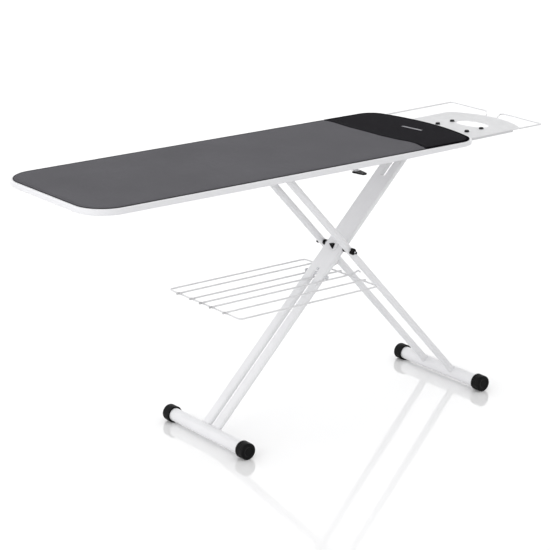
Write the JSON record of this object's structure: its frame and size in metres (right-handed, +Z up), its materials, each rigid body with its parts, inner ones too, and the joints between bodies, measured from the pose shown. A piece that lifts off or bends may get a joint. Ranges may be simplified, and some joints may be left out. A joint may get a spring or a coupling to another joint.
{
  "type": "full-size folding ironing board",
  "caption": "Full-size household ironing board on folding X legs, with a padded two-tone cover, a perforated iron rest and a wire laundry rack.",
  "frame": {"origin": "on the floor, under the middle of the whole length and width, with the legs fully open", "axes": "+X from the square end of the board towards the iron rest, +Y to the far side, away from the release lever, +Z up"},
  "size_m": [1.6987, 0.492, 0.8335],
  "materials": {
    "white_steel": "satin white powder coat",
    "white_wire": "satin white powder coat on wire",
    "white_rim": "smooth satin moulding",
    "white_deck": "perforated sheet, white powder coat",
    "pad_felt": "needled felt",
    "cover_grey": "plain woven cotton, matte",
    "cover_black": "dense woven cloth, matte",
    "black_plastic": "fine-grained moulding",
    "wire_tip_plastic": "soft dipped tip",
    "bumper_rubber": "matte silicone",
    "zinc_steel": "zinc plated"
  },
  "bodies": {
    "tabletop": {"board_rim": "white_rim", "board_deck": "white_deck", "board_pad": "pad_felt", "cover_main": "cover_grey", "cover_nose": "cover_black", "cross_braces": "white_steel", "slide_rail": "white_steel", "hinge_bracket": "white_steel", "hinge_pin": "zinc_steel", "rest_plate": "white_steel", "rest_bar": "white_steel", "rest_bumpers": "bumper_rubber", "rest_wire_far": "white_wire", "rest_wire_near": "white_wire", "lever_bracket": "white_steel", "lever_pin": "zinc_steel", "lever_spring": "zinc_steel"},
    "wide_leg": {"wide_leg_tube_near": "white_steel", "wide_leg_tube_far": "white_steel", "foot_bar_wide": "white_steel", "foot_caps_wide": "black_plastic", "hinge_sleeve": "zinc_steel", "axle_sleeve": "zinc_steel", "axle_boss": "white_rim", "axle_shield": "black_plastic", "leg_web": "white_steel", "wide_leg_screw": "zinc_steel", "rack_bolt": "zinc_steel"},
    "thin_leg": {"thin_leg_tube_near": "white_steel", "thin_leg_tube_far": "white_steel", "foot_bar_thin": "white_steel", "foot_caps_thin": "black_plastic", "thin_leg_top_sleeves": "zinc_steel", "axle_bolt": "zinc_steel", "axle_caps": "black_plastic", "axle_spacers": "black_plastic"},
    "carriage": {"rail_carriage": "black_plastic", "carriage_rod": "zinc_steel"},
    "rack": {"rack_rim": "white_wire", "rack_wire_2": "white_wire", "rack_wire_3": "white_wire", "rack_wire_4": "white_wire", "rack_wire_5": "white_wire", "rack_wire_6": "white_wire", "rack_wire_tips": "wire_tip_plastic", "rack_lugs": "white_wire"},
    "release_lever": {"release_arm": "white_steel", "lock_bar": "zinc_steel", "lever_grip": "black_plastic"}
  },
  "joints": [
    {"name": "fold", "type": "hinge", "parent": "tabletop", "child": "wide_leg", "pos_m": [0.43855, 0, 0.792], "axis": [0, 1, 0], "range_deg": [0, 41]},
    {"name": "thin_leg_fold", "type": "hinge", "parent": "wide_leg", "child": "thin_leg", "pos_m": [0.15736, 0, 0.50803], "axis": [0, 1, 0], "range_deg": [-84.3, 0]},
    {"name": "carriage_level", "type": "hinge", "parent": "thin_leg", "child": "carriage", "pos_m": [-0.10055, 0, 0.792], "axis": [0, 1, 0], "range_deg": [0, 43.3]},
    {"name": "rack_level", "type": "hinge", "parent": "wide_leg", "child": "rack", "pos_m": [0.08406, 0, 0.434], "axis": [0, 1, 0], "range_deg": [-41.1, 0]},
    {"name": "height_release", "type": "hinge", "parent": "tabletop", "child": "release_lever", "pos_m": [0.06925, -0.112, 0.798], "axis": [-1, 0, 0], "range_deg": [0, 4.9], "stiffness_Nm_per_rad": 2, "springref_deg": -8.59, "deforming": ["lever_spring"]}
  ],
  "couplings": [
    {"joint": "thin_leg_fold", "follows": "fold", "ratio": -2.0546},
    {"joint": "carriage_level", "follows": "fold", "ratio": 1.0546},
    {"joint": "rack_level", "follows": "fold", "ratio": -1}
  ]
}
